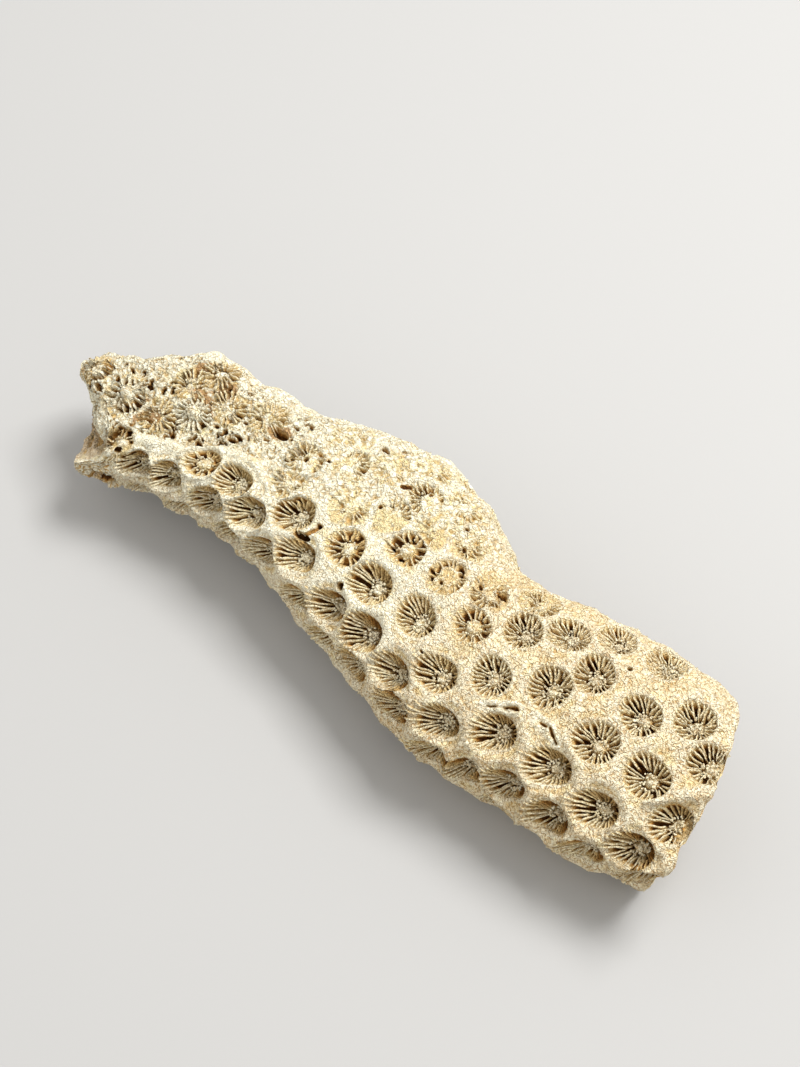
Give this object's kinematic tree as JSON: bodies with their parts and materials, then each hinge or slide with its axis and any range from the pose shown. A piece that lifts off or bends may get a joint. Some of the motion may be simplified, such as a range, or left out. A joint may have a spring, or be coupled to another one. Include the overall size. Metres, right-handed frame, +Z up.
{
  "type": "fossil honeycomb coral",
  "caption": "Broken length of fossil coral branch, curved like a flattened S, its surface covered in round star-ribbed calices in raised honeycomb walls.",
  "frame": {"origin": "middle of the bounding box's bottom face, on the surface the branch rests on", "axes": "+X along the branch from its thin broken tip to its thick broken base, +Y towards the far flank, +Z up out of the broad upper face"},
  "size_m": [0.0932, 0.0322, 0.0185],
  "materials": {
    "fossil_coral": "matt, dry, chalky and finely granular; cream ridges with ochre-brown recesses"
  },
  "bodies": {
    "root": {"coral_branch": "fossil_coral"}
  },
  "joints": []
}
